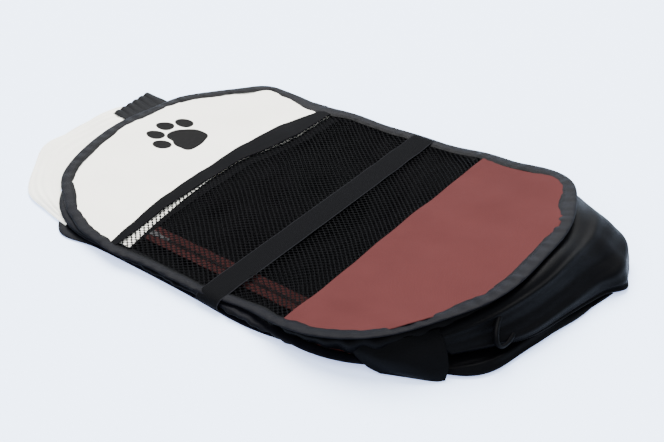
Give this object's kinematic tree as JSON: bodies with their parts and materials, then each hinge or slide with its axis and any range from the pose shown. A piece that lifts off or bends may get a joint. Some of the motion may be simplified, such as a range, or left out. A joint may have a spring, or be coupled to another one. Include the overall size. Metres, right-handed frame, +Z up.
{
  "type": "folding pet playpen",
  "caption": "Pop-up pet playpen folded flat: oval spring-hoop walls of cream cloth, black mesh and maroon canvas, held by an elastic band.",
  "frame": {"origin": "middle of the folded stack's box, on the surface it rests on", "axes": "+X along the stack from the cream roof end to the maroon floor end, +Y to the side of the left-back seam, +Z up"},
  "size_m": [0.717, 0.3894, 0.0574],
  "materials": {
    "binding": "satin black woven binding",
    "spring_steel": "tempered flat spring steel, dull",
    "crimp_steel": "pressed zinc-plated ferrule",
    "cream_cloth": "cream coated polyester, matte",
    "hem": "black woven hem, matte",
    "mesh": "black warp-knit mesh",
    "maroon_cloth": "maroon canvas weave, matte",
    "black_cloth": "black coated nylon, soft sheen",
    "seam_tape": "black seam tape",
    "elastic": "black knitted elastic webbing",
    "print_black": "flat black screen print",
    "zip_tape": "maroon facing tape with a black coil zip",
    "zip_metal": "black lacquered slider"
  },
  "bodies": {
    "left_wall": {"left_wall_sleeve": "binding", "left_wall_hoop_wire": "spring_steel", "left_wall_ferrule": "crimp_steel", "left_wall_cream_panel": "cream_cloth", "left_wall_hem_band": "hem", "left_wall_black_panel": "black_cloth", "left_wall_maroon_panel": "maroon_cloth", "seam_left_back": "seam_tape", "elastic_band": "elastic", "band_overlap": "elastic", "floor_cloth_bulge": "black_cloth", "roof_cloth_bulge": "cream_cloth", "gathered_tab": "seam_tape"},
    "back_wall": {"back_wall_sleeve": "binding", "back_wall_hoop_wire": "spring_steel", "back_wall_ferrule": "crimp_steel", "back_wall_cream_panel": "cream_cloth", "back_wall_hem_band": "hem", "back_wall_mesh_window": "mesh", "back_wall_maroon_panel": "maroon_cloth", "seam_back_right": "seam_tape"},
    "right_wall": {"right_wall_sleeve": "binding", "right_wall_hoop_wire": "spring_steel", "right_wall_ferrule": "crimp_steel", "right_wall_cream_panel": "cream_cloth", "right_wall_hem_band": "hem", "right_wall_mesh_window": "mesh", "right_wall_maroon_panel": "maroon_cloth", "seam_right_front": "seam_tape", "zip_tape": "zip_tape"},
    "front_wall": {"front_wall_sleeve": "binding", "front_wall_hoop_wire": "spring_steel", "front_wall_ferrule": "crimp_steel", "front_wall_cream_panel": "cream_cloth", "front_wall_hem_band": "hem", "front_wall_mesh_window": "mesh", "front_wall_maroon_panel": "maroon_cloth", "paw_print": "print_black", "floor_cloth_bunch": "black_cloth"},
    "floor_left_half": {"floor_left_half": "black_cloth"},
    "floor_right_half": {"floor_right_half": "black_cloth"},
    "roof_left_half": {"roof_left_half": "cream_cloth"},
    "roof_right_half": {"roof_right_half": "cream_cloth"},
    "zip_slider": {"zip_slider": "zip_metal", "zip_pull": "zip_metal"}
  },
  "joints": [
    {"name": "fold_back", "type": "hinge", "parent": "left_wall", "child": "back_wall", "pos_m": [0.0015, 0.19, 0.0036], "axis": [-1, 0, 0], "range_deg": [0, 90], "deforming": ["elastic_band", "band_overlap", "floor_cloth_bulge", "roof_cloth_bulge", "floor_cloth_bunch"]},
    {"name": "fold_right", "type": "hinge", "parent": "back_wall", "child": "right_wall", "pos_m": [0.0015, -0.195, 0.00735], "axis": [1, 0, 0], "range_deg": [0, 270]},
    {"name": "fold_front", "type": "hinge", "parent": "right_wall", "child": "front_wall", "pos_m": [0.0015, 0.19, 0.0111], "axis": [-1, 0, 0], "range_deg": [0, 90]},
    {"name": "turn_floor_left", "type": "hinge", "parent": "left_wall", "child": "floor_left_half", "pos_m": [0.2825, 0, 0.0036], "axis": [0, 1, 0], "range_deg": [0, 90]},
    {"name": "turn_floor_right", "type": "hinge", "parent": "right_wall", "child": "floor_right_half", "pos_m": [0.2825, 0, 0.0111], "axis": [0, 1, 0], "range_deg": [0, 90]},
    {"name": "turn_roof_left", "type": "hinge", "parent": "left_wall", "child": "roof_left_half", "pos_m": [-0.2795, 0, 0.0036], "axis": [0, -1, 0], "range_deg": [0, 90]},
    {"name": "turn_roof_right", "type": "hinge", "parent": "right_wall", "child": "roof_right_half", "pos_m": [-0.2795, 0, 0.0111], "axis": [0, -1, 0], "range_deg": [0, 90]},
    {"name": "zip_slide", "type": "slide", "parent": "right_wall", "child": "zip_slider", "axis": [1, 0, 0], "range_m": [0, 0.18]}
  ],
  "couplings": [
    {"joint": "fold_right", "follows": "fold_back", "ratio": 3},
    {"joint": "fold_front", "follows": "fold_back", "ratio": 1},
    {"joint": "turn_floor_left", "follows": "fold_back", "ratio": 1},
    {"joint": "turn_floor_right", "follows": "fold_back", "ratio": 1},
    {"joint": "turn_roof_left", "follows": "fold_back", "ratio": 1},
    {"joint": "turn_roof_right", "follows": "fold_back", "ratio": 1}
  ]
}
